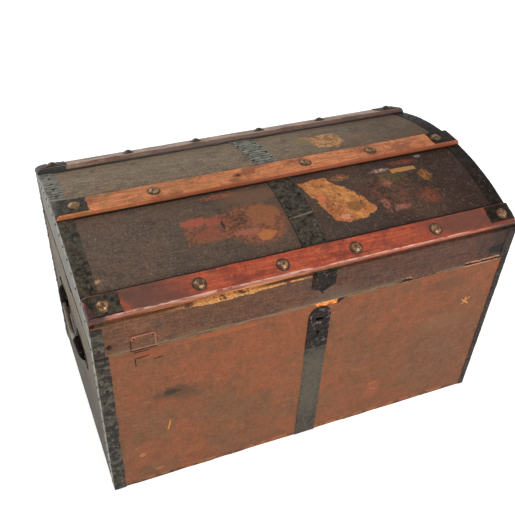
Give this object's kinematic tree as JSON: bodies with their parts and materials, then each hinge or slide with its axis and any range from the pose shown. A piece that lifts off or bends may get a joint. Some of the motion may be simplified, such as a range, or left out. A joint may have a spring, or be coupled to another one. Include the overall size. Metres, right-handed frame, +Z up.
{
  "type": "steamer trunk",
  "caption": "Dome-topped steamer trunk: canvas-covered boards, hardwood slats on the hinged lid, sheet-iron bands, domed nails, a lock and a leather handle at each end.",
  "frame": {"origin": "centre of the trunk's footprint, on the floor it stands on", "axes": "+X along the trunk to its right end as seen from the front, -Y is the front with the lock, +Z is up"},
  "size_m": [0.8774, 0.5044, 0.5395],
  "materials": {
    "board_wood": "aged bare softwood boards",
    "body_canvas": "worn reddish-brown painted canvas",
    "lid_canvas": "worn dark grey-brown painted canvas",
    "slat_wood": "varnished red-brown hardwood, worn along its edges",
    "nail_brass": "tarnished brass",
    "trim_iron": "black japanned sheet iron, worn",
    "lock_iron": "rough blackened iron",
    "handle_leather": "dry, dusty brown leather"
  },
  "bodies": {
    "trunk_body": {"back_left_corner_iron": "trim_iron", "back_panel": "board_wood", "back_right_corner_iron": "trim_iron", "body_canvas": "body_canvas", "body_hinge_screws": "trim_iron", "body_tacks": "trim_iron", "bottom_board": "board_wood", "end_catch_plates": "trim_iron", "front_center_band": "trim_iron", "front_left_corner_iron": "trim_iron", "front_panel": "board_wood", "front_right_corner_iron": "trim_iron", "handle_cap_nails": "trim_iron", "hinge_pins": "trim_iron", "left_end_panel": "board_wood", "left_handle_cap_back": "trim_iron", "left_handle_cap_front": "trim_iron", "left_hinge_body_leaf": "trim_iron", "lock_case": "lock_iron", "lock_plate": "lock_iron", "lock_rivets": "lock_iron", "right_end_panel": "board_wood", "right_handle_cap_back": "trim_iron", "right_handle_cap_front": "trim_iron", "right_hinge_body_leaf": "trim_iron"},
    "lid": {"back_slat": "slat_wood", "back_slat_left_cap": "trim_iron", "back_slat_right_cap": "trim_iron", "center_slat": "slat_wood", "center_slat_left_cap": "trim_iron", "center_slat_right_cap": "trim_iron", "front_slat": "slat_wood", "front_slat_left_cap": "trim_iron", "front_slat_right_cap": "trim_iron", "hasp_plate": "trim_iron", "hasp_rivets": "trim_iron", "left_hinge_lid_leaf": "trim_iron", "lid_back_board": "board_wood", "lid_back_left_corner_iron": "trim_iron", "lid_back_right_corner_iron": "trim_iron", "lid_center_band": "trim_iron", "lid_dome_panel": "board_wood", "lid_front_board": "board_wood", "lid_front_left_corner_iron": "trim_iron", "lid_front_right_corner_iron": "trim_iron", "lid_hinge_screws": "trim_iron", "lid_left_edge_band": "trim_iron", "lid_left_end_board": "board_wood", "lid_left_end_canvas": "lid_canvas", "lid_right_edge_band": "trim_iron", "lid_right_end_board": "board_wood", "lid_right_end_canvas": "lid_canvas", "lid_tab_plate": "trim_iron", "lid_tacks": "trim_iron", "lid_top_canvas": "lid_canvas", "right_hinge_lid_leaf": "trim_iron", "slat_nails": "nail_brass"},
    "lock_bolt": {"lock_bolt": "lock_iron"},
    "left_handle": {"left_handle": "handle_leather"},
    "right_handle": {"right_handle": "handle_leather"}
  },
  "joints": [
    {"name": "lid_hinge", "type": "hinge", "parent": "trunk_body", "child": "lid", "pos_m": [0, 0.2515, 0.3934], "axis": [-1, 0, 0], "range_deg": [0, 100]},
    {"name": "left_handle_hinge", "type": "hinge", "parent": "trunk_body", "child": "left_handle", "pos_m": [-0.432, 0, 0.262], "axis": [0, 1, 0], "range_deg": [0, 95]},
    {"name": "right_handle_hinge", "type": "hinge", "parent": "trunk_body", "child": "right_handle", "pos_m": [0.432, 0, 0.262], "axis": [0, -1, 0], "range_deg": [0, 95]},
    {"name": "lock_bolt_slide", "type": "slide", "parent": "trunk_body", "child": "lock_bolt", "axis": [1, 0, 0], "range_m": [0, 0.014]}
  ]
}
